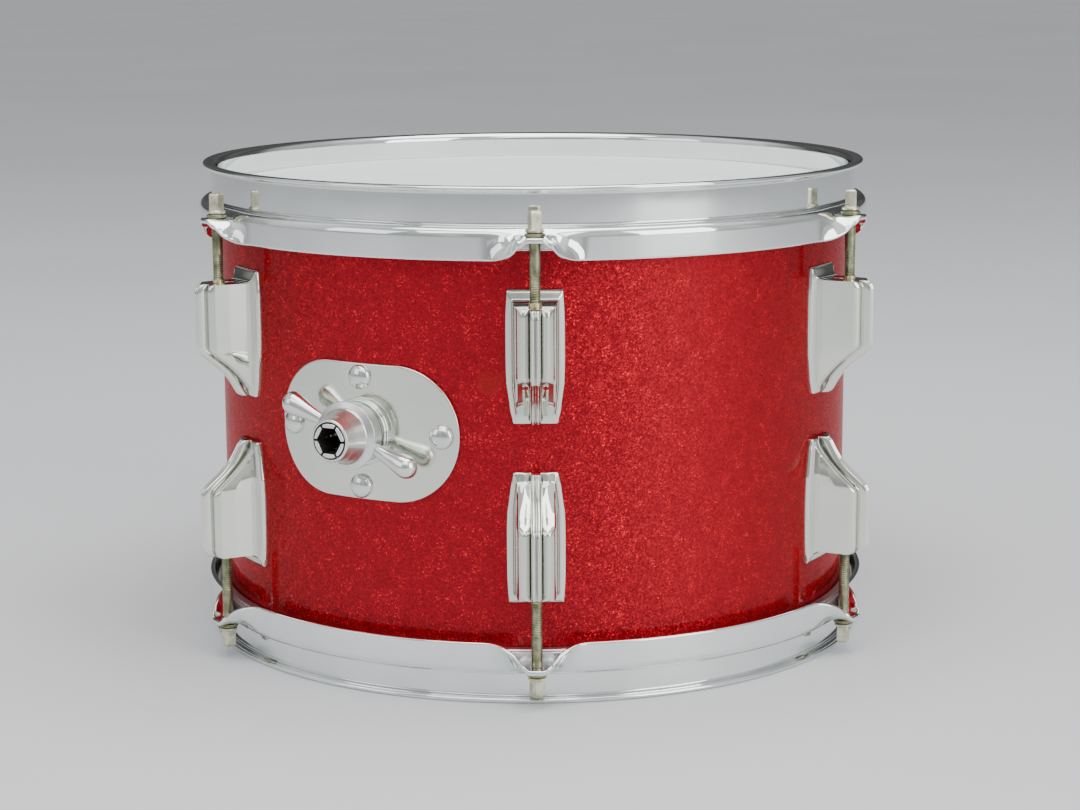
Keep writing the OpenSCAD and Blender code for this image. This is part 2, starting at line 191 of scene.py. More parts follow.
def grid(rows, close_rows=False, close_columns=False):
    """Quads over rows of points, as (points, faces)."""
    wide = len(rows[0])
    points = [p for row in rows for p in row]
    faces = []
    for j in range(len(rows) if close_rows else len(rows) - 1):
        for i in range(wide if close_columns else wide - 1):
            a, b = j * wide, (j + 1) % len(rows) * wide
            right = (i + 1) % wide
            faces.append((a + i, a + right, b + right, b + i))
    return points, faces


def capped(rows):
    """Solid through closed rows of points, with a flat face at both ends."""
    points, faces = grid(rows, close_columns=True)
    wide = len(rows[0])
    faces.append(tuple(range(wide)))
    faces.append(tuple(range(len(points) - 1, len(points) - 1 - wide, -1)))
    return points, faces


def revolved(outline, steps=96, closed=True):
    """Solid of revolution about +Z of an outline of (radius, height) points."""
    rows = []
    for k in range(steps):
        a = 2 * math.pi * k / steps
        rows.append([(r * math.cos(a), r * math.sin(a), z) for r, z in outline])
    return grid(rows, close_rows=True, close_columns=closed)


def moved(shape, place):
    points, faces = shape
    return [place @ Vector(p) for p in points], faces


def joined(shapes):
    points, faces = [], []
    for more, loops in shapes:
        start = len(points)
        points += [tuple(p) for p in more]
        faces += [tuple(start + i for i in loop) for loop in loops]
    return points, faces


def mesh_object(name, shape, sharp=40):
    points, faces = shape
    mesh = bpy.data.meshes.new(name)
    mesh.from_pydata([Vector(p) * MM for p in points], [], faces)
    tidy = bmesh.new()
    tidy.from_mesh(mesh)
    bmesh.ops.remove_doubles(tidy, verts=tidy.verts, dist=0.002 * MM)
    bmesh.ops.dissolve_degenerate(tidy, edges=tidy.edges, dist=0.0005 * MM)
    bmesh.ops.recalc_face_normals(tidy, faces=tidy.faces)
    tidy.to_mesh(mesh)
    tidy.free()
    mesh.shade_smooth()
    mesh.set_sharp_from_angle(angle=math.radians(sharp))
    obj = bpy.data.objects.new(name, mesh)
    bpy.context.scene.collection.objects.link(obj)
    return obj


def piece(name, shape, body, material, nodes, sharp=40, weighted=True):
    """A finished piece in place: mesh, material, the body it rides on and the nodes it stands for."""
    obj = mesh_object(name, shape, sharp)
    obj.data.materials.append(material)
    if weighted:
        normals = obj.modifiers.new("even_normals", "WEIGHTED_NORMAL")
        normals.keep_sharp = True
    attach(obj, body)
    if nodes:
        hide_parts(*nodes)
    return obj


def repaint(obj, material, place, chosen):
    """Gives a second material to the faces whose middles, seen from a place, are chosen."""
    obj.data.materials.append(material)
    back = place.inverted()
    for face in obj.data.polygons:
        if chosen(back @ (face.center / MM)):
            face.material_index = 1


def cut(obj, shape):
    """Takes a closed shape out of an object."""
    tool = mesh_object(obj.name + "_cutter", shape)
    modifier = obj.modifiers.new("cut", "BOOLEAN")
    modifier.operation = "DIFFERENCE"
    modifier.solver = "EXACT"
    modifier.object = tool
    obj.modifiers.move(len(obj.modifiers) - 1, 0)
    weighted = [other for other in obj.modifiers if other.type == "WEIGHTED_NORMAL"]
    for other in weighted:
        other.show_viewport = False
    bpy.context.view_layer.update()
    state = bpy.context.evaluated_depsgraph_get()
    obj.data = bpy.data.meshes.new_from_object(obj.evaluated_get(state))
    obj.modifiers.remove(modifier)
    for other in weighted:
        other.show_viewport = True
    bpy.data.objects.remove(tool)


# ---- Materials ----


class Nodes:
    """Short calls that add nodes to a tree."""

    def __init__(self, tree, coordinates):
        self.tree = tree
        self.place = self.add("ShaderNodeTexCoord").outputs[coordinates]

    def add(self, kind, inputs=None, **settings):
        made = self.tree.nodes.new(kind)
        for key, value in settings.items():
            setattr(made, key, value)
        for key, value in (inputs or {}).items():
            self.feed(value, made.inputs[key])
        return made

    def feed(self, value, socket):
        if isinstance(value, bpy.types.NodeSocket):
            self.tree.links.new(value, socket)
        else:
            socket.default_value = value

    def stretched(self, x, y, z):
        made = self.add("ShaderNodeMapping", {"Vector": self.place, "Scale": (x, y, z)})
        return made.outputs["Vector"]

    def noise(self, scale, detail=2.0, rough=0.5, vector=None):
        inputs = {"Vector": vector or self.place, "Scale": scale, "Detail": detail, "Roughness": rough}
        return self.add("ShaderNodeTexNoise", inputs).outputs["Fac"]

    def span(self, value, low, high, to_low, to_high):
        inputs = {"Value": value, "From Min": low, "From Max": high, "To Min": to_low, "To Max": to_high}
        return self.add("ShaderNodeMapRange", inputs).outputs["Result"]

    def math(self, operation, a, b=0.0):
        return self.add("ShaderNodeMath", {0: a, 1: b}, operation=operation).outputs[0]

    def mix(self, share, a, b, blend="MIX"):
        made = self.add("ShaderNodeMix", data_type="RGBA", blend_type=blend)
        for value, index in ((share, 0), (a, 6), (b, 7)):
            self.feed(value, made.inputs[index])
        return made.outputs[2]

    def ramp(self, value, *stops):
        made = self.add("ShaderNodeValToRGB", {"Fac": value})
        marks = made.color_ramp.elements
        while len(marks) < len(stops):
            marks.new(0.5)
        for mark, (at, colour) in zip(marks, stops):
            mark.position = at
            mark.color = colour
        return made.outputs["Color"]

    def vector_math(self, operation, a, b):
        """Vector result of an operation on a and b, where b is a number if the operation scales."""
        inputs = {0: a, "Scale" if operation == "SCALE" else 1: b}
        return self.add("ShaderNodeVectorMath", inputs, operation=operation).outputs[0]

    def bump_normal(self, height, depth, strength):
        inputs = {"Height": height, "Distance": depth, "Strength": strength}
        return self.add("ShaderNodeBump", inputs).outputs["Normal"]


class Paint(Nodes):
    """A node material with its Principled shader."""

    def __init__(self, name, **values):
        self.material = bpy.data.materials.new(name)
        self.material.use_nodes = True
        super().__init__(self.material.node_tree, "Object")
        self.shader = self.tree.nodes["Principled BSDF"]
        for key, value in values.items():
            self.shader.inputs[key.replace("_", " ")].default_value = value

    def set(self, name, value):
        self.feed(value, self.shader.inputs[name])

    def bump(self, height, depth, strength=1.0):
        self.set("Normal", self.bump_normal(height, depth, strength))


def grey(value):
    return (value, value, value, 1)


def sparkle_wrap():
    """Glitter flakes under clear plastic: each flake has its own brightness and its own tilt."""
    p = Paint("sparkle_wrap", Metallic=0.85, Roughness=0.44,
              Coat_Weight=0.27, Coat_Roughness=0.05, Coat_IOR=1.36)
    p.set("Specular Tint", (0.9, 0.12, 0.12, 1))
    cells = p.add("ShaderNodeTexVoronoi", {"Vector": p.place, "Scale": 1700.0})
    chance = p.add("ShaderNodeSeparateColor", {"Color": cells.outputs["Color"]})
    clouds = p.noise(150.0, 3.0, 0.6)
    lift = p.math("ADD", chance.outputs["Red"], p.span(clouds, 0.35, 0.7, -0.12, 0.1))
    colour = p.ramp(
        lift,
        (0.0, (0.24, 0.005, 0.012, 1)),
        (0.5, (0.33, 0.006, 0.015, 1)),
        (0.9, (0.43, 0.008, 0.019, 1)),
        (1.0, (0.85, 0.014, 0.03, 1)),
    )
    scuffs = p.ramp(p.noise(26.0, 2.0, 0.5), (0.71, grey(0)), (0.75, grey(0.5)))
    p.set("Base Color", p.mix(scuffs, colour, (0.36, 0.02, 0.015, 1)))
    tilt = p.vector_math("SUBTRACT", cells.outputs["Color"], (0.5, 0.5, 0.5))
    tilt = p.vector_math("SCALE", tilt, 0.5)
    normal = p.vector_math("ADD", p.add("ShaderNodeNewGeometry").outputs["Normal"], tilt)
    flake = p.add("ShaderNodeVectorMath", {0: normal}, operation="NORMALIZE")
    p.set("Normal", flake.outputs[0])
    ripple = p.noise(9.0, 2.0, 0.4)
    p.set("Coat Normal", p.bump_normal(ripple, 0.0012, 0.5))
    return p.material


def chrome(name, base=0.80, rough=0.035, haze=0.05, wave=0.0, grime_and_hollow_shade=0.0, tint=(0.97, 1.0, 0.97)):
    """Polished plating with faint haze, wipe marks, tiny pits and, where asked, painted shade that
    darkens its hollows and creases.
    """
    p = Paint(name, Metallic=1.0)
    smears = p.noise(28.0, 4.0, 0.6)
    p.set("Roughness", p.span(smears, 0.35, 0.75, rough, rough + haze))
    bright = tuple(base * share for share in tint) + (1,)
    dull = tuple(base * 0.94 * share for share in tint) + (1,)
    tone = p.ramp(p.noise(55.0, 3.0), (0.3, bright), (0.7, dull))
    pits = p.ramp(p.noise(1900.0, 2.0, 0.7), (0.66, grey(1)), (0.74, grey(0.55)))
    clean = p.mix(0.5, tone, pits, "MULTIPLY")
    # Painted shade: where asked, hollows and creases (low pointiness) are darkened towards a dark brown.
    if grime_and_hollow_shade > 0:
        hollow = p.add("ShaderNodeNewGeometry").outputs["Pointiness"]
        crease_shade = p.span(hollow, 0.45, 0.498, grime_and_hollow_shade, 0.0)
        clean = p.mix(crease_shade, clean, (0.10, 0.085, 0.075, 1))
    p.set("Base Color", clean)
    grain = p.math("MULTIPLY", p.noise(420.0, 3.0, 0.6), 0.000004)
    swell = p.math("MULTIPLY", p.noise(26.0, 1.0, 0.4, p.stretched(1.0, 1.0, 0.5)), wave)
    p.bump(p.math("ADD", grain, swell), 1.0)
    return p.material


def plated_rod():
    """Old yellowish plating, duller and darker in patches."""
    p = Paint("plated_rod", Metallic=0.9)
    patches = p.noise(190.0, 4.0, 0.65)
    dull, worn, bright = (0.12, 0.128, 0.07, 1), (0.25, 0.262, 0.16, 1), (0.42, 0.435, 0.30, 1)
    p.set("Base Color", p.ramp(patches, (0.32, dull), (0.5, worn), (0.74, bright)))
    p.set("Roughness", p.span(patches, 0.3, 0.7, 0.46, 0.32))
    p.bump(p.noise(1500.0, 2.0), 0.00005, 0.4)
    return p.material


def key_head():
    """The same plating where fingers and drum keys have kept it pale."""
    p = Paint("key_head", Metallic=0.9)
    patches = p.noise(240.0, 4.0, 0.6)
    p.set("Base Color", p.ramp(patches, (0.3, (0.36, 0.34, 0.23, 1)), (0.62, (0.74, 0.72, 0.58, 1))))
    p.set("Roughness", p.span(patches, 0.3, 0.7, 0.42, 0.3))
    p.bump(p.noise(1500.0, 2.0), 0.00005, 0.3)
    return p.material


def brass():
    p = Paint("brass", Metallic=1.0)
    patches = p.noise(260.0, 3.0, 0.6)
    p.set("Base Color", p.ramp(patches, (0.3, (0.50, 0.44, 0.22, 1)), (0.7, (0.78, 0.72, 0.45, 1))))
    p.set("Roughness", p.span(patches, 0.3, 0.7, 0.34, 0.2))
    p.bump(p.noise(1300.0, 2.0), 0.00004, 0.3)
    return p.material


def dark_bore():
    """Oxidised inside of the collet."""
    p = Paint("dark_bore", Metallic=0.4)
    grime_and_hollow_shade = p.noise(700.0, 3.0, 0.6)
    p.set("Base Color", p.ramp(grime_and_hollow_shade, (0.3, (0.012, 0.010, 0.008, 1)), (0.7, (0.035, 0.028, 0.02, 1))))
    p.set("Roughness", p.span(grime_and_hollow_shade, 0.3, 0.7, 0.75, 0.5))
    return p.material


def metal(name, base, rough):
    """Plain cut or rolled metal with a faint grain."""
    p = Paint(name, Metallic=1.0)
    grain = p.noise(620.0, 3.0, 0.6)
    p.set("Base Color", p.ramp(grain, (0.3, grey(base * 0.8)), (0.7, grey(base))))
    p.set("Roughness", p.span(grain, 0.3, 0.7, rough, rough * 0.7))
    p.bump(grain, 0.00003, 0.4)
    return p.material


def coated_film():
    """Sprayed white coating with a fine even tooth and faint stick marks."""
    p = Paint("coated_film", Roughness=0.72)
    wear = p.noise(34.0, 4.0, 0.6)
    p.set("Base Color", p.ramp(wear, (0.3, (0.76, 0.82, 0.80, 1)), (0.7, (0.82, 0.87, 0.85, 1))))
    p.bump(p.noise(2100.0, 3.0, 0.7), 0.00012, 0.7)
    return p.material


def clear_film():
    p = Paint("clear_film", Transmission_Weight=0.85, IOR=1.5)
    haze = p.noise(40.0, 3.0, 0.6)
    p.set("Base Color", p.ramp(haze, (0.3, grey(0.78)), (0.7, grey(0.88))))
    p.set("Roughness", p.span(haze, 0.3, 0.7, 0.08, 0.2))
    return p.material


def maple_ply():
    """Pale wood whose grain runs up the shell, with thin ply lines on the edges."""
    p = Paint("maple_ply", Roughness=0.55, Coat_Weight=0.25, Coat_Roughness=0.25)
    grain = p.noise(60.0, 5.0, 0.65, p.stretched(6.0, 6.0, 0.7))
    fine = p.noise(420.0, 3.0, 0.6, p.stretched(3.0, 3.0, 0.25))
    tone = p.ramp(grain, (0.3, (0.44, 0.27, 0.13, 1)), (0.7, (0.66, 0.46, 0.26, 1)))
    p.set("Base Color", p.mix(0.35, tone, p.ramp(fine, (0.35, grey(0.55)), (0.65, grey(1))), "MULTIPLY"))
    p.bump(fine, 0.00012, 0.5)
    return p.material


def pale_floor():
    p = Paint("pale_floor", Roughness=0.6)
    clouds = p.noise(1.6, 3.0)
    p.set("Base Color", p.ramp(clouds, (0.3, (0.60, 0.61, 0.63, 1)), (0.7, (0.64, 0.65, 0.67, 1))))
    p.bump(p.noise(300.0, 3.0), 0.0002, 0.2)
    return p.material


WRAP = sparkle_wrap()
CHROME = chrome("chrome")
# The hoop, satin, cone and cast chromes darken their hollows and creases with painted shade.
HOOP_CHROME = chrome("hoop_chrome", base=0.84, rough=0.05, wave=0.00012, grime_and_hollow_shade=0.55,
                     tint=(0.96, 1.0, 0.995))
PLATE_CHROME = chrome("plate_chrome", base=0.73, rough=0.10, haze=0.06, tint=(0.965, 1.0, 0.90))
SATIN = chrome("satin_chrome", base=0.76, rough=0.12, haze=0.06, grime_and_hollow_shade=0.6)
CONE = chrome("cone_chrome", base=0.76, rough=0.25, haze=0.05, grime_and_hollow_shade=0.6)
CAST_CHROME = chrome("cast_chrome", base=0.74, grime_and_hollow_shade=0.8, tint=(0.965, 1.0, 0.91))
BORE = dark_bore()
ROD = plated_rod()
KEY_HEAD = key_head()
BRASS = brass()
COATED = coated_film()
CLEAR = clear_film()
ALUMINIUM = metal("aluminium", 0.72, 0.42)
STEEL = metal("plain_steel", 0.46, 0.42)
PLY = maple_ply()

# ---- Shell and heads ----


def wrap_shape():
    """Thin sheet round the shell, with the sheet's end lapping over its start at the back."""
    low = bottom_of("shell_wrap")
    high = top_of("shell_wrap")
    seam = 160
    lap = 4.5
    lap_t = 0.35
    steps = 480
    rows = []
    for k in range(steps):
        azimuth = seam + 360 * k / steps
        past = (azimuth - seam) % 360
        outer = WRAP_R + (lap_t if past < lap else 0)
        across = [(SHELL_R + 0.03, low), (outer - 0.15, low), (outer, low + 0.15)]
        across += [(outer, low + (high - low) * f) for f in (0.1, 0.35, 0.65, 0.9)]
        across += [(outer, high - 0.15), (outer - 0.15, high), (SHELL_R + 0.03, high)]
        turn = at_az(azimuth)
        rows.append([turn @ Vector((r, 0, z)) for r, z in across])
    return grid(rows, close_rows=True, close_columns=True)


def vent_place():
    return at_az(VENT_AZ) @ lifted(SHELL_MID)


def closed_cylinder(radius, low, high, steps=48):
    return revolved([(0, low), (radius, low), (radius, high), (0, high)], steps, closed=False)


def build_shell():
    wrap = piece("wrap", wrap_shape(), "drum", WRAP, ["shell_wrap"])
    hole = closed_cylinder(VENT_HOLE_R, SHELL_R - 4, WRAP_R + 4)
    cut(wrap, moved(hole, vent_place() @ facing_out(0)))
    reach = WRAP_R - INNER_R
    eyelet = rounded([
        (4, -0.6, 0.3), (4, reach + 0.5, 1.3), (7.6, reach + 0.9, 0.8), (8, reach - 0.35, 0.2),
        (5, reach - 0.1, 0.1), (5, -0.6, 0.3)])
    grommet = moved(revolved(eyelet, 64), vent_place() @ facing_out(INNER_R))
    piece("vent_eyelet", grommet, "drum", BRASS, ["vent_grommet"])


def film_shape(collar):
    """Film with z = 0 on the bearing edge, a soft bend over it and the collar hanging below."""
    edge_r = SHELL_R - 1.5
    film_in = WRAP_R + 0.2
    film_t = 0.3
    bend = film_in - edge_r
    inner = [(0, 0, 0), (60, 0, 0), (120, 0, 0), (edge_r, 0, 1.2), (film_in, -bend, 1.2),
             (film_in, -collar, 0)]
    outer = [(film_in + film_t, -collar, 0), (film_in + film_t, -bend + 0.15, 1.5),
             (edge_r + 0.15, film_t, 1.5), (120, film_t, 0), (60, film_t, 0), (0, film_t, 0)]
    return revolved(rounded(inner + outer, closed=False), 288, closed=False)


def flesh_ring_shape():
    """Folded channel that grips the film, with z = 0 under the hoop's ledge."""
    inner = WRAP_R + 0.6
    outer = inner + 5.4
    low = bottom_of("batter_flesh_hoop") - top_of("batter_flesh_hoop")
    return revolved(rounded([
        (inner, low, 0.5), (outer - 1.6, low, 0.6), (outer - 1.2, low + 0.7, 0.3), (outer, low + 1, 0.7),
        (outer, 0, 0.9), (inner, 0, 0.6)]), 240)


def build_heads():
    top = moved(film_shape(SHELL_HIGH - bottom_of("batter_head")), lifted(SHELL_HIGH))
    low = moved(film_shape(top_of("resonant_head") - SHELL_LOW), from_floor(SHELL_LOW))
    piece("batter_film", top, "drum", COATED, ["batter_head"])
    piece("resonant_film", low, "drum", CLEAR, ["resonant_head"])
    ring = flesh_ring_shape()
    top = moved(ring, lifted(BATTER_LEDGE - HOOP_T))
    low = moved(ring, from_floor(RESONANT_LEDGE + HOOP_T))
    piece("batter_flesh_ring", top, "drum", ALUMINIUM, ["batter_flesh_hoop"])
    piece("resonant_flesh_ring", low, "drum", ALUMINIUM, ["resonant_flesh_hoop"])


# ---- Hoops ----

# The flap is the sheet past the ledge: it starts level, then turns down as skirt or dips as ear.
LEDGE_EDGE = 0.9
SKIRT_BEND = 3.0
SKIRT_LENGTH = 15.56
EAR_BEND = 1.8
EAR_SLOPE = math.radians(50)
EAR_SLOPE_RUN = 2.76
EAR_LENGTH = 17.56
EAR_TIP_HALF = 6.4


def skirt_heading(at):
    """Angle below level of the skirt's sheet, at a length from the start of the flap."""
    return min(max((at - LEDGE_EDGE) / SKIRT_BEND, 0), math.pi / 2)


def ear_heading(at):
    """The same for the middle of an ear, which dips and then runs level to its tip."""
    slope_end = LEDGE_EDGE + EAR_SLOPE * EAR_BEND + EAR_SLOPE_RUN
    down = min(max((at - LEDGE_EDGE) / EAR_BEND, 0), EAR_SLOPE)
    return down - min(max((at - slope_end) / EAR_BEND, 0), EAR_SLOPE)


EAR_SHARE = [(0, 1), (2.8, 1), (5.2, 0.9), (7.7, 0.72), (9.4, 0.56), (11.2, 0.45), (13.2, 0.35),
             (15.2, 0.24), (17.2, 0.14), (19.4, 0.06), (22, 0.015), (25, 0), (26, 0)]


def ear_share(side):
    """1 on an ear, 0 on plain skirt, for a distance from the ear's middle."""
    return curve(EAR_SHARE, abs(side))


def hoop_line(wall_h, side):
    """Middle of the hoop's sheet from the lip to the end of the flap, with z = 0 on top of the ledge."""
    wall = HOOP_WALL_R - HOOP_T / 2
    lip_bend, foot_bend = 2.2, 2.0
    top = wall_h - HOOP_T / 2
    level = -HOOP_T / 2
    line = [(HOOP_LIP_R - HOOP_T / 2, top), (wall + lip_bend, top)]
    for k in range(1, 7):
        a = math.pi / 2 * k / 6
        line.append((wall + lip_bend * (1 - math.sin(a)), top - lip_bend * (1 - math.cos(a))))
    low, high = level + foot_bend, top - lip_bend
    line += [(wall, low + (high - low) * f) for f in (0.97, 0.5, 0.03)]
    for k in range(7):
        a = math.pi / 2 * k / 6
        line.append((wall + foot_bend * (1 - math.cos(a)), level + foot_bend * (1 - math.sin(a))))
    share = ear_share(side)
    tip = math.sqrt(max(1 - (side / EAR_TIP_HALF) ** 2, 0))
    length = SKIRT_LENGTH + (EAR_LENGTH - SKIRT_LENGTH) * tip
    steps = 34
    r, z = line[-1]
    for k in range(steps):
        at = (k + 0.5) / steps
        skirt = skirt_heading(at * SKIRT_LENGTH)
        ear = ear_heading(at * EAR_LENGTH)
        heading = skirt + (ear - skirt) * share
        r += math.cos(heading) * length / steps
        z -= math.sin(heading) * length / steps
        line.append((r, z))
    return line


def thickened(line, thickness):
    """Closed outline of a sheet with rounded edges, from the line along its middle."""
    half = thickness / 2
    count = len(line)
    one, other = [], []
    for i in range(count):
        a = Vector(line[max(i - 1, 0)])
        b = Vector(line[min(i + 1, count - 1)])
        along = (b - a).normalized()
        across = Vector((-along.y, along.x)) * half
        here = Vector(line[i])
        one.append(here + across)
        other.append(here - across)
    along = (Vector(line[-1]) - Vector(line[-2])).normalized()
    back = (Vector(line[0]) - Vector(line[1])).normalized()

    def cap(here, way, start):
        out = []
        for k in range(1, 6):
            a = math.pi * k / 6
            out.append(here + (start * math.cos(a) + way * math.sin(a)) * half)
        return out

    end = cap(Vector(line[-1]), along * 0.55, (one[-1] - Vector(line[-1])).normalized())
    begin = cap(Vector(line[0]), back, (other[0] - Vector(line[0])).normalized())
    return one + end + other[::-1] + begin


def hoop_angles():
    """Angles from an ear's middle to the middle of the next gap on both sides, finer across the ear."""
    fine = [0.5 * k / HOOP_SKIRT_R for k in range(-51, 52)]
    edge = fine[-1]
    half = math.radians(LUG_STEP / 2)
    coarse = [edge + (half - edge) * k / 18 for k in range(1, 18)]
    return [-a for a in reversed(coarse)] + fine + coarse + [half]


def hoop_shape(wall_h):
    rows = []
    for ear in range(SIDES):
        for a in hoop_angles():
            outline = thickened(hoop_line(wall_h, a * HOOP_SKIRT_R), HOOP_T)
            turn = at_az(ear * LUG_STEP + math.degrees(a))
            rows.append([turn @ Vector((q[0], 0, q[1])) for q in outline])
    return grid(rows, close_rows=True, close_columns=True)


def rod_holes(low, high):
    hole = closed_cylinder(ROD_HOLE_R, low, high, 40)
    return joined([moved(hole, at_az(k * LUG_STEP) @ pushed_out(ROD_CIRCLE_R)) for k in range(SIDES)])


def build_hoops():
    top = moved(hoop_shape(BATTER_WALL_H), lifted(BATTER_LEDGE))
    low = moved(hoop_shape(RESONANT_WALL_H), from_floor(RESONANT_LEDGE))
    upper = piece("upper_hoop", top, "drum", HOOP_CHROME, ["batter_hoop"], weighted=False)
    lower = piece("lower_hoop", low, "drum", HOOP_CHROME, ["resonant_hoop"], weighted=False)
    ear = BATTER_LEDGE - EAR_DROP
    cut(upper, rod_holes(ear - 5, ear + 3))
    ear = RESONANT_LEDGE + EAR_DROP
    cut(lower, rod_holes(ear - 3, ear + 5))


# ---- Lugs ----
# Heights run down from the end of the flange next to the hoop; reaches are measured out from the wrap.
# Across the lug come the flange, its cove, the casing's wall, the lobe beside the middle, and the bead.

BODY_START, BODY_FULL_END = 6.1, 34
FLANGE_HALF = [(0, 12.2), (1, 12.35), (6, 12.75), (14, 13.1), (30, 13.15), (41, 12.85), (45, 12.3),
               (49, 11.75), (54, 11.1), (57, 10.35), (LUG_H, 10.1)]
COVE_RISE = [(0.2, 2.05), (0.28, 2.15), (0.73, 2.9), (0.88, 3.8), (0.97, 4.8), (1, 5.3)]
FLANGE_COVE = [(0, 0), (0.04, 1.4), (0.1, 1.8)] + COVE_RISE
END_COVE = [(0, 0), (0.04, 0.8), (0.1, 1.35), (0.2, 1.9)] + COVE_RISE[1:]
COVE_STEPS = (0, 0.015, 0.04, 0.07, 0.1, 0.15, 0.2, 0.28, 0.5, 0.68, 0.75, 0.82, 0.88, 0.93, 0.97)
FOOT_SIDE = [(0, 9.25), (42, 9.25), (45, 9.0), (50, 8.45), (55.5, 7.8), (LUG_H, 7.7)]
CREST, CREASE, EDGE = 5.3, 13.2, 20
CREASE_SIDE, EDGE_SIDE = 8.75, 7.75
WALL_SHARES = (0, 0.03, 0.29, 0.52, 0.55, 0.76, 0.92, 0.98, 1)
LOBE_EDGE = [(BODY_FULL_END, 20), (36.8, 20), (38.2, 19.3), (40.9, 16.2), (44.6, 11.9), (48.4, 8.2),
             (52.2, 5.2), (55.2, 3.3), (55.6, 3.15), (LUG_H, 2.3)]
LOBE_TOP = [(BODY_FULL_END, 22.2), (35.6, 22.1), (37, 21.4), (38.6, 19.8), (42.3, 15.3), (47.8, 9.5),
            (52.2, 5.9), (55.2, 3.8), (55.6, 3.6), (LUG_H, 2.4)]
GROOVE = [(BODY_FULL_END, 20.6), (36.4, 20.5), (38, 19.4), (42.3, 14.7), (47.8, 9.2), (52.2, 5.6),
          (55.3, 3.3), (55.7, 3.0), (LUG_H, 2.1)]
BEAD_TOP = [(BODY_FULL_END, 26.1), (35.4, 26.0), (37.8, 25.0), (39.7, 23.1), (42.3, 20.0),
            (44.8, 16.9), (48.1, 13.4), (51.2, 11.0), (54.7, 8.8), (57.9, 6.9), (LUG_H, 5.6)]
BEAD_DROP = [(2.44, 5), (2.38, 3.2), (2.28, 2.1), (2.1, 1.25), (1.9, 0.65), (1.6, 0.2), (1.2, 0),
             (0.85, 0.14), (0.5, 0.52), (0.22, 0.84), (0, 0.92)]
# Oval corners, as (length, drop), where the lobes and the bead begin below the neck.
LOBE_ROUND = (3.6, 1.9)
BEAD_ROUND = (4.4, 3.5)
TAIL_ROUND = 1.1
RIM_SINK = 0.15
NECK_HOLE_R = 2.85


def round_off(reach, top, depth, size):
    """Reach of a surface under an oval corner of a (length, drop), at the start of a level top."""
    length, drop = size
    if depth >= length:
        return reach
    return min(reach, top - drop + drop * math.sqrt(1 - (1 - max(depth, 0) / length) ** 2))


def lug_half_width(down):
    """Half the flange's width, with small round corners at both ends."""
    corner = 1.1
    end = max(min(down, LUG_H - down, corner), 0)
    return curve(FLANGE_HALF, down) - corner + math.sqrt(corner**2 - (corner - end) ** 2)


def cove_points(wide, body, limit):
    """Points from the flange's edge in to the foot of the body."""
    return [(wide - (wide - body) * d, min(curve(FLANGE_COVE, d), limit)) for d in COVE_STEPS]


def wall_side(foot, edge, share):
    """Distance from the middle of a wall that leans in from its foot, with a soft crease on its way."""
    lean = foot + (EDGE_SIDE - foot) * share
    if edge <= CREST:
        return foot + (lean - foot) * 0.5
    full = (edge - CREST) / (EDGE - CREST)
    crease = (CREASE - CREST) / (EDGE - CREST)
    swell = (CREASE_SIDE - foot - (EDGE_SIDE - foot) * crease) * full**2
    return lean + swell * min(share / crease, (1 - share) / (1 - crease))


def lug_section(down):
    """(side, reach) points across half a lug at one height, from the flange's edge to the middle."""
    past = down - BODY_START
    full = curve(LOBE_TOP, down)
    edge = round_off(curve(LOBE_EDGE, down), full, past, LOBE_ROUND)
    top = round_off(full, full, past, LOBE_ROUND)
    groove = min(round_off(curve(GROOVE, down), full, past, LOBE_ROUND), top)
    bead = round_off(curve(BEAD_TOP, down), curve(BEAD_TOP, down), past, BEAD_ROUND)
    foot = curve(FOOT_SIDE, down)
    flat_edge = curve(LOBE_EDGE, down)
    half = cove_points(lug_half_width(down), foot, edge)
    for share in WALL_SHARES:
        reach = min(CREST, flat_edge) + max(flat_edge - CREST, 0) * share
        half.append((wall_side(foot, flat_edge, share), min(reach, edge)))
    corner = half[-1][0]
    for k in range(1, 13):
        u = k / 12
        if u <= 0.5:
            reach = edge + (top - edge) * math.sin(math.pi * u)
        else:
            reach = groove + (top - groove) * math.sin(math.pi * u)
        half.append((corner + (BEAD_DROP[0][0] + 0.02 - corner) * u, reach))
    for side, drop in BEAD_DROP:
        half.append((side, max(bead - drop, groove)))
    left = LUG_H - down
    if left < TAIL_ROUND:
        sink = TAIL_ROUND - math.sqrt(TAIL_ROUND**2 - (TAIL_ROUND - left) ** 2)
        half = [(side, max(reach - sink, 0)) for side, reach in half]
    return half


def lug_row(down, half):
    """A full row across the lug, laid against the round wrap with its rims sunk a little into it."""
    full = half + [(-side, reach) for side, reach in half[-2::-1]]
    full = [(full[0][0], -RIM_SINK)] + full + [(full[-1][0], -RIM_SINK)]
    return [(math.sqrt(WRAP_R**2 - side**2) + reach, side, -down) for side, reach in full]


def lug_shape():
    """Cast casing with z = 0 at the end of the flange next to the hoop."""
    first = lug_section(BODY_START)
    rows = []
    for d in COVE_STEPS + (1,):
        wide = lug_half_width(BODY_START * d)
        half = cove_points(wide, FOOT_SIDE[0][1], curve(END_COVE, d))
        half += [(side, curve(END_COVE, d)) for side, _ in first[len(COVE_STEPS):]]
        rows.append(lug_row(BODY_START * d, half))
    heights = [BODY_START + t for t in (0, 0.03, 0.1, 0.25, 0.5, 0.85, 1.3, 1.8, 2.4, 3, 3.6, 4.4)]
    heights += [14, 20, 26, 30, BODY_FULL_END]
    heights += [BODY_FULL_END + 0.5 * k for k in range(1, 20)]
    heights += [44.3 + 0.9 * k for k in range(12)]
    heights += [54.8, 55.2, 55.45, 55.7, 56.2, 57, 57.8]
    heights += [LUG_H - t for t in (0.7, 0.45, 0.25, 0.1, 0.02, 0)]
    for down in heights:
        rows.append(lug_row(down, lug_section(down)))
    ends = [[(side, -RIM_SINK) for side, _ in lug_section(down)] for down in (0, LUG_H)]
    return capped([lug_row(0, ends[0])] + rows + [lug_row(LUG_H, ends[1])])


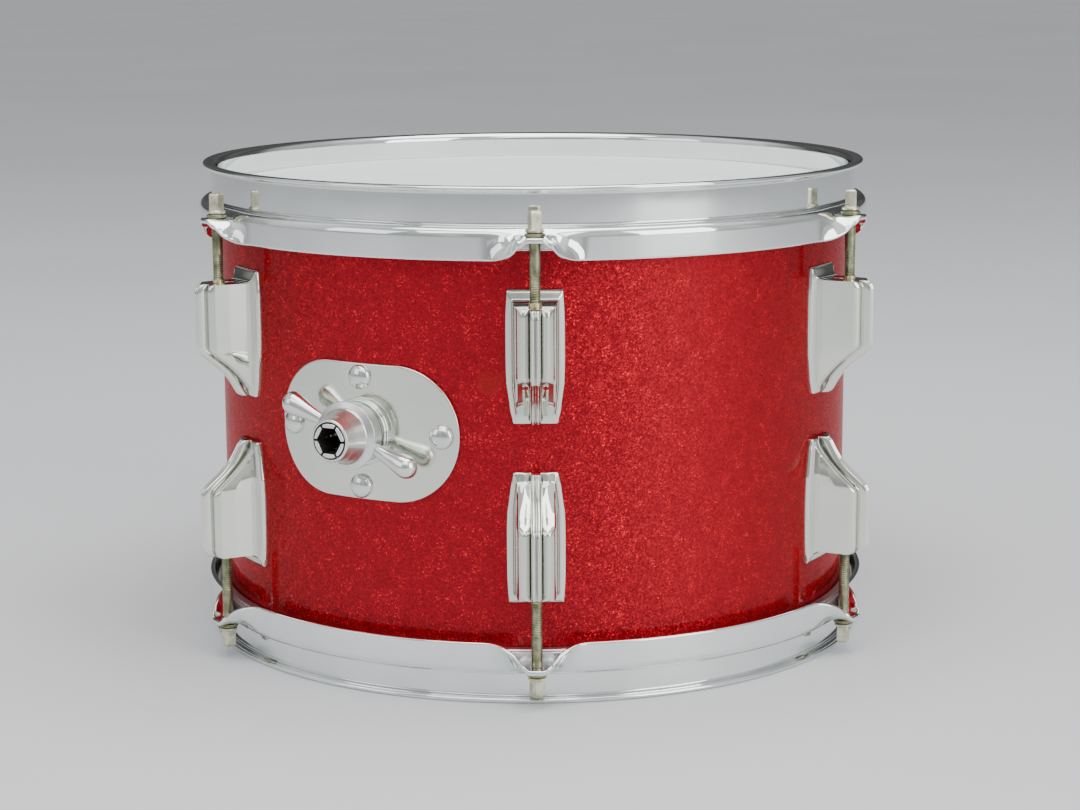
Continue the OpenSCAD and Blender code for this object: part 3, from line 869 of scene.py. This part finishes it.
def swivel_nut_shape():
    """Brass nut in a casing, its thin neck standing out of the top, with z = 0 at the flange's end."""
    bore, neck, body = ROD_R + 0.1, 2.75, 4.4
    low, high = -18, -BODY_START - 2.25
    return revolved(rounded([
        (bore, low, 0), (body, low, 0.4), (body, high, 0.3), (neck, high, 0), (neck, -4.3, 0.12),
        (bore, -4.3, 0.05)]), 40)


def build_lugs():
    shape = lug_shape()
    nut = swivel_nut_shape()
    out = pushed_out(ROD_CIRCLE_R)
    hole = closed_cylinder(NECK_HOLE_R, -27, 1)
    nuts = []
    for k in range(SIDES):
        turn = at_az(k * LUG_STEP)
        for name, place in (("top", lifted(LUG_HIGH)), ("bottom", from_floor(LUG_LOW))):
            casing = moved(shape, turn @ place)
            lug = piece(f"casing_{name}_{k + 1}", casing, "drum", CAST_CHROME,
                        [f"lug_{name}_{k + 1}"], sharp=48)
            cut(lug, moved(hole, turn @ place @ out))
            nuts.append(moved(nut, turn @ place @ out))
    piece("nut_necks", joined(nuts), "drum", BRASS, ["swivel_nuts"])


# ---- Tension rods ----

THREAD_R = 2.45
THREAD_DEPTH = 0.34
PITCH = 1.06
ROD_LENGTH = 50.8
PLAIN_LENGTH = 17.5
THREAD_END = 34


def thread_rows(high, low, around=28):
    """Helical thread round +Z between two heights, rows from the top down."""
    rows = []
    steps = int((high - low) / PITCH * 8)
    for k in range(steps + 1):
        z = high - (high - low) * k / steps
        fade = min(1, (high - z) / PITCH, (z - low) / PITCH)
        ring = []
        for i in range(around):
            a = 2 * math.pi * i / around
            phase = (z / PITCH - i / around) % 1
            depth = THREAD_DEPTH * (1 - abs(2 * phase - 1)) * fade
            r = THREAD_R - depth
            ring.append((r * math.cos(a), r * math.sin(a), z))
        rows.append(ring)
    return rows


def circle_row(radius, z, around=28):
    return [(radius * math.cos(2 * math.pi * i / around), radius * math.sin(2 * math.pi * i / around), z)
            for i in range(around)]


def square_row(half, corner, z, around=28):
    """Rounded square drawn with the same number of points as a circle."""
    per = around // 4
    ring = []
    for i in range(around):
        quarter, step = divmod(i, per)
        a = math.radians(90) * (step / (per - 1))
        x = half - corner + corner * math.cos(a)
        y = half - corner + corner * math.sin(a)
        ring.append(tuple(Matrix.Rotation(math.pi / 2 * quarter, 3, "Z") @ Vector((x, y, z))))
    return ring


def tension_rod_shape():
    """Rod with z = 0 under its collar: square key head, collar, plain shank and thread."""
    crown = [(0, 9.75), (1.2, 9.75)]
    head = [(1.9, 0.5, 9.7), (2.25, 0.5, 9.45), (2.45, 0.5, 9.0), (2.5, 0.45, 8.4), (2.5, 0.45, 2.6),
            (2.55, 0.6, 2.25)]
    collar = [(3.3, 2.02), (3.75, 1.85), (4.0, 1.55), (4.1, 1.15), (4.1, 0.7), (3.8, 0.45), (3.3, 0.3),
              (3.2, 0)]
    shank = [(ROD_R + 0.15, 0), (ROD_R, -0.2), (ROD_R, -2), (ROD_R, -PLAIN_LENGTH + 0.4)]
    end = [(THREAD_R, -THREAD_END - 0.1), (THREAD_R, -ROD_LENGTH + 0.8), (THREAD_R - 0.7, -ROD_LENGTH),
           (0, -ROD_LENGTH)]
    rows = [circle_row(radius, z) for radius, z in crown]
    rows += [square_row(half, corner, z) for half, corner, z in head]
    rows += [circle_row(radius, z) for radius, z in collar + shank]
    rows += thread_rows(-PLAIN_LENGTH, -THREAD_END)
    rows += [circle_row(radius, z) for radius, z in end]
    return grid(rows, close_columns=True)


# Degrees that each square head is turned from its lug, as a tuned drum leaves them.
HEAD_TURNS = {"top": (18, 22, 61, 40, 10, 33), "bottom": (38, 12, 70, 25, 52, 5)}


def build_rods():
    shape = tension_rod_shape()
    out = pushed_out(ROD_CIRCLE_R)
    washer = revolved(rounded([
        (2.7, 0, 0.15), (4.5, 0, 0.45), (4.5, WASHER_T, 0.45), (2.7, WASHER_T, 0.2)]), 48)
    halves = (("top", lifted(BATTER_COLLAR), lifted(BATTER_COLLAR - WASHER_T)),
              ("bottom", from_floor(RESONANT_COLLAR), from_floor(RESONANT_COLLAR + WASHER_T)))
    for name, collar, ear in halves:
        washers = []
        for k in range(SIDES):
            spin = Matrix.Rotation(math.radians(HEAD_TURNS[name][k]), 4, "Z")
            place = at_az(k * LUG_STEP) @ collar @ out @ spin
            body = f"tension_rod_{name}_{k + 1}"
            rod = piece(f"rod_{name}_{k + 1}", moved(shape, place), body, ROD, [body],
                        sharp=50)
            repaint(rod, KEY_HEAD, place, lambda spot: spot.z > 0)
            washers.append(moved(washer, at_az(k * LUG_STEP) @ ear @ out))
        piece(f"washers_{name}", joined(washers), "drum", ROD, [f"rod_washers_{name}"])


# ---- Arm mount ----

PLATE_HALF_W = 47.4
PLATE_HALF_H = 30.7
PLATE_CORNER = 30.0


def plate_edge():
    """Oval of the plate laid flat, as (side, height) points round it."""
    flat_w = PLATE_HALF_W - PLATE_CORNER
    flat_h = PLATE_HALF_H - PLATE_CORNER
    turns, across = 30, 14
    points = []
    for quarter, (sx, sy) in enumerate(((1, 1), (-1, 1), (-1, -1), (1, -1))):
        for k in range(turns + 1):
            a = math.pi / 2 * (quarter + k / turns)
            x, y = PLATE_CORNER * math.cos(a), PLATE_CORNER * math.sin(a)
            points.append((sx * flat_w + x, sy * flat_h + y))
        if quarter in (0, 2):
            points += [(sx * flat_w * (1 - 2 * k / across), sy * PLATE_HALF_H) for k in range(1, across)]
    return points


def plate_shape():
    """Plate bent round the shell, with rounded rims."""
    edge = plate_edge()
    rim = 0.8
    face = rim + 0.6
    near_middle = 0.001

    def ring(inset, radius):
        points = []
        for i, (x, y) in enumerate(edge):
            ahead = Vector(edge[(i + 1) % len(edge)]) - Vector(edge[i - 1])
            inward = Vector((-ahead.y, ahead.x)).normalized() * inset
            side = (x + inward.x) / PLATE_R
            points.append((radius * math.cos(side), radius * math.sin(side), y + inward.y))
        return points

    def shrunk(share, radius):
        points = []
        for x, y, z in ring(face, radius):
            side = math.atan2(y, x) * share
            points.append((radius * math.cos(side), radius * math.sin(side), z * share))
        return points

    bottom = PLATE_R - PLATE_T
    shares = [near_middle, 0.06] + [0.12 + 0.08 * k for k in range(11)]
    rows = [shrunk(share, PLATE_R) for share in shares]
    rows.append(ring(face, PLATE_R))
    for k in range(7):
        a = math.pi / 2 * k / 6
        rows.append(ring(rim - rim * math.sin(a), PLATE_R - rim + rim * math.cos(a)))
    rows += [ring(0, bottom + 0.1), ring(0.2, bottom), ring(3, bottom)]
    rows += [shrunk(share, bottom) for share in (0.8, 0.6, 0.4, 0.2, near_middle)]
    return grid(rows, close_columns=True)


def bolt_shape():
    """Plain domed head on the plate, with the shank that passes through the shell."""
    head_r, rim_z, rise = 5.5, 0.6, 2.9
    turns = [math.radians(a) for a in range(0, 91, 6)]
    dome = [(head_r * math.sin(a), rim_z + rise * math.cos(a)) for a in turns]
    foot = [(head_r, 0.2), (5.4, -0.1), (5.3, -0.4), (2.4, -0.4), (2.4, -12), (2.1, -12.4), (0, -12.4)]
    return revolved(dome + foot, 72, closed=False)


def bolt_places():
    for s in (-1, 1):
        yield at_az(MOUNT_AZ) @ lifted(MOUNT_Z + s * BOLT_RISE)
    for s in (-1, 1):
        yield at_az(MOUNT_AZ + s * BOLT_TURN) @ lifted(MOUNT_Z)


def receiver_shape():
    """Stepped foot and barrel round the collet, and the tube through the shell."""
    return revolved(rounded([
        (8, -15.4, 0.4), (10.5, -15.4, 0.5), (10.5, -2, 0), (15.3, -2, 0), (15.3, 1.6, 0.7),
        (14.2, 1.7, 0.25), (14.2, 2.15, 0.25), (15, 2.2, 0.4), (15, 3.2, 0.7), (12.8, 3.4, 0.3),
        (12.8, 11.4, 0.5), (8, 11.4, 0.5)]), 144)


COLLET_MOUTH = 25.2
COLLET_R = 7.9
HEX_FLAT = 5.6
FINGER_HALF = math.radians(30)


def collet_finger():
    """One of the six fingers: round outside, flat inside, with a slot's wall at each side."""
    half_slot = 0.5
    round_from = 7.4
    outline = rounded([
        (HEX_FLAT, 7, 0), (COLLET_R, 7, 0), (COLLET_R, 11.8, 0), (8.7, 12.8, 0.3), (8.7, 13.8, 0.3),
        (7.7, 22, 0), (7.7, COLLET_MOUTH, 0.5), (HEX_FLAT, COLLET_MOUTH, 0.45)])
    steps = 14
    rows = []
    for k in range(steps + 1):
        t = 2 * k / steps - 1
        line = []
        for r, z in outline:
            flatness = max(0, min(1, (round_from - r) / (round_from - HEX_FLAT)))
            angle = t * (FINGER_HALF - math.asin(half_slot / r))
            bore = HEX_FLAT / math.cos(angle)
            reach = r + (bore - HEX_FLAT) * flatness
            angle = t * (FINGER_HALF - math.asin(half_slot / reach))
            line.append((reach * math.cos(angle), reach * math.sin(angle), z))
        rows.append(line)
    return capped(rows)


def collet_shape():
    """Fingers round a hexagon with two level corners, on a plain sleeve."""
    finger = collet_finger()
    fingers = [moved(finger, Matrix.Rotation(2 * FINGER_HALF * k, 4, "Z")) for k in range(6)]
    sleeve = rounded([
        (HEX_FLAT + 0.9, -15, 0.3), (COLLET_R, -15, 0.4), (COLLET_R, 7.2, 0), (HEX_FLAT + 0.9, 7.2, 0)])
    return joined(fingers + [revolved(sleeve, 72)])


def nut_cone_shape():
    """Concave cone, sharp rim and plain skirt of the wing nut."""
    return revolved(rounded([
        (12.95, 4.4, 0.2), (14.1, 4.4, 0.4), (14.1, 10.2, 0.3), (15.3, 10.6, 0.3), (15.3, 12.0, 0.4),
        (12.2, 13.5, 1.8), (10.4, 19.5, 12), (9.4, 24.3, 0.4), (8.95, 24.8, 0.25),
        (8.3, 24.8, 0.2), (8.3, 23, 0), (9.4, 13.8, 0), (9.4, 12.6, 0), (12.95, 12, 0)]), 160)


WING_TIP = 36.8
WING_HEIGHT = 8.9
WING_TURN = 158.6
WINGS_ONLY_R = 15.5


def wing_shape():
    """Teardrop wing along +Z from the nut's axis, with a casting crease along its front and back."""
    bulb, centre = 5.3, WING_TIP - 5.3
    taper = [(11.5, 2.35), (16, 2.75), (20, 3.25), (24, 4.0), (27.5, 4.75), (29.7, 5.14), (centre, bulb)]
    stations = [(z, curve(taper, z)) for z in (11.5, 13.5, 16, 18.5, 21, 23.5, 26, 28, 29.7, centre)]
    for degrees in range(9, 91, 9):
        a = math.radians(degrees)
        stations.append((centre + bulb * math.sin(a), max(bulb * math.cos(a), 0.02)))
    around = 48
    rows = []
    for z, r in stations:
        ring = []
        for i in range(around):
            a = 2 * math.pi * i / around
            crease = abs(math.remainder(a - math.pi / 2, math.pi))
            ridge = 0.16 * max(0, 1 - crease / math.radians(9)) * min(1, r / 2)
            ring.append(((r + ridge) * math.cos(a), (r + ridge) * math.sin(a), z))
        rows.append(ring)
    points, faces = grid(rows, close_columns=True)
    faces.append(tuple(range(around)))
    return points, faces


def build_mount():
    plate = moved(plate_shape(), at_az(MOUNT_AZ) @ lifted(MOUNT_Z))
    piece("plate", plate, "drum", PLATE_CHROME, ["mount_plate"])
    bolts = [moved(bolt_shape(), place @ facing_out(PLATE_R)) for place in bolt_places()]
    piece("plate_bolts", joined(bolts), "drum", SATIN, ["mount_bolts"])
    mount = on_mount(PLATE_R)
    receiver = moved(receiver_shape(), mount)
    piece("receiver", receiver, "drum", CHROME, ["receiver_body"])
    level = Matrix.Rotation(math.radians(60), 4, "Z")
    sleeve = piece("collet_sleeve", moved(collet_shape(), mount @ level), "drum", SATIN,
                   ["collet"], sharp=50)

    def in_bore(spot):
        return spot.xy.length < HEX_FLAT + 1 and spot.z < COLLET_MOUTH - 0.6

    repaint(sleeve, BORE, mount, in_bore)
    wings = []
    for side in (0, 180):
        lay = at_az(MOUNT_AZ) @ lifted(MOUNT_Z) @ pushed_out(PLATE_R + WING_HEIGHT)
        lay = lay @ Matrix.Rotation(math.radians(WING_TURN + side), 4, "X")
        lay = lay @ Matrix.Rotation(-math.pi / 2, 4, "X")
        wings.append(moved(wing_shape(), lay))
    nut = joined([moved(nut_cone_shape(), mount)] + wings)
    nut = piece("wing_nut_cone", nut, "wing_nut", CONE, ["wing_nut"], sharp=45)
    repaint(nut, SATIN, mount, lambda spot: spot.xy.length > WINGS_ONLY_R)


# ---- Carried-over CAD nodes ----

WOODEN = ("shell", "reinforcement_ring_top", "reinforcement_ring_bottom")
STEELY = ("swivel_nut_clips", "lug_screws", "lug_screw_washers", "mount_bolt_washers", "mount_bolt_nuts",
          "receiver_saddle", "receiver_lock_nut")


def paint_kept_nodes():
    for names, material in ((WOODEN, PLY), (STEELY, STEEL)):
        for name in names:
            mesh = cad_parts[name].data
            mesh.materials.clear()
            mesh.materials.append(material)


# ---- Camera, floor and light ----

CAMERA_PLACE = (-0.0041, -1.19108, 0.32556)
CAMERA_LENS = 81.24
CAMERA_DOWN = math.radians(10.528)
CAMERA_YAW = math.radians(0.333)
CAMERA_ROLL = math.radians(-0.294)


def build_camera():
    """The photograph's view: a long lens, a little above the drum and looking down at it."""
    data = bpy.data.cameras.new("camera")
    data.sensor_width = 36
    data.lens = CAMERA_LENS
    data.clip_start = 0.05
    data.clip_end = 100
    camera = bpy.data.objects.new("camera", data)
    bpy.context.scene.collection.objects.link(camera)
    level = math.cos(CAMERA_DOWN)
    ahead = Vector((math.sin(CAMERA_YAW) * level, math.cos(CAMERA_YAW) * level, -math.sin(CAMERA_DOWN)))
    right = Vector((math.cos(CAMERA_YAW), -math.sin(CAMERA_YAW), 0))
    over = right.cross(ahead)
    rolled_right = right * math.cos(CAMERA_ROLL) + over * math.sin(CAMERA_ROLL)
    rolled_over = over * math.cos(CAMERA_ROLL) - right * math.sin(CAMERA_ROLL)
    axes = Matrix((rolled_right, rolled_over, -ahead)).transposed().to_4x4()
    camera.matrix_world = Matrix.Translation(CAMERA_PLACE) @ axes
    bpy.context.scene.camera = camera


def area_light(name, place, aim, size, power, colour=(1, 1, 1)):
    data = bpy.data.lights.new(name, "AREA")
    data.shape = "RECTANGLE"
    data.size, data.size_y = size
    data.energy = power
    data.color = colour
    lamp = bpy.data.objects.new(name, data)
    bpy.context.scene.collection.objects.link(lamp)
    lamp.location = place
    lamp.rotation_mode = "QUATERNION"
    lamp.rotation_quaternion = (Vector(aim) - Vector(place)).to_track_quat("-Z", "Y")


def build_floor():
    rings = [circle_row(radius, 0, 96) for radius in (0, 200, 1000, 6000, 40000)]
    floor = mesh_object("floor", grid(rings, close_columns=True))
    floor.data.materials.append(pale_floor())


def build_world():
    """Soft studio surroundings: bright above, dim behind the drum, with broad pale screens round it."""
    world = bpy.data.worlds.new("world")
    bpy.context.scene.world = world
    world.use_nodes = True
    nodes = Nodes(world.node_tree, "Generated")
    way = nodes.add("ShaderNodeSeparateXYZ", {0: nodes.place}).outputs
    brightness = ((0.0, 0.75), (0.3, 0.92), (0.55, 1.05), (0.8, 1.3))
    sky = nodes.ramp(way["Z"], *((height, grey(level)) for height, level in brightness))
    behind = nodes.span(way["Y"], 0.3, 0.6, 1.0, 0.14)
    blotches = nodes.noise(2.6, 1.0, 0.5, nodes.stretched(1, 1, 0.15))
    screens = nodes.span(blotches, 0.44, 0.56, 0.72, 1.15)
    shaded = nodes.vector_math("SCALE", sky, nodes.math("MULTIPLY", behind, screens))
    background = world.node_tree.nodes["Background"]
    nodes.feed(shaded, background.inputs["Color"])
    nodes.feed(0.8, background.inputs["Strength"])


def build_lights():
    drum = (0, 0, 0.12)
    area_light("overhead", (0.1, -0.1, 1.9), (0, 0, 0.1), size=(1.8, 1.4), power=34)
    area_light("key", (-0.35, -1.45, 1.6), drum, size=(1.7, 0.8), power=10)
    area_light("window", (1.6, -1.5, 0.85), drum, size=(1.1, 1.6), power=24, colour=(1, 0.99, 0.97))
    area_light("side", (-1.75, -1.05, 0.95), drum, size=(0.9, 1.2), power=5, colour=(0.97, 0.99, 1))


build_camera()
build_shell()
build_heads()
build_hoops()
build_lugs()
build_rods()
build_mount()
paint_kept_nodes()
build_floor()
build_world()
build_lights()
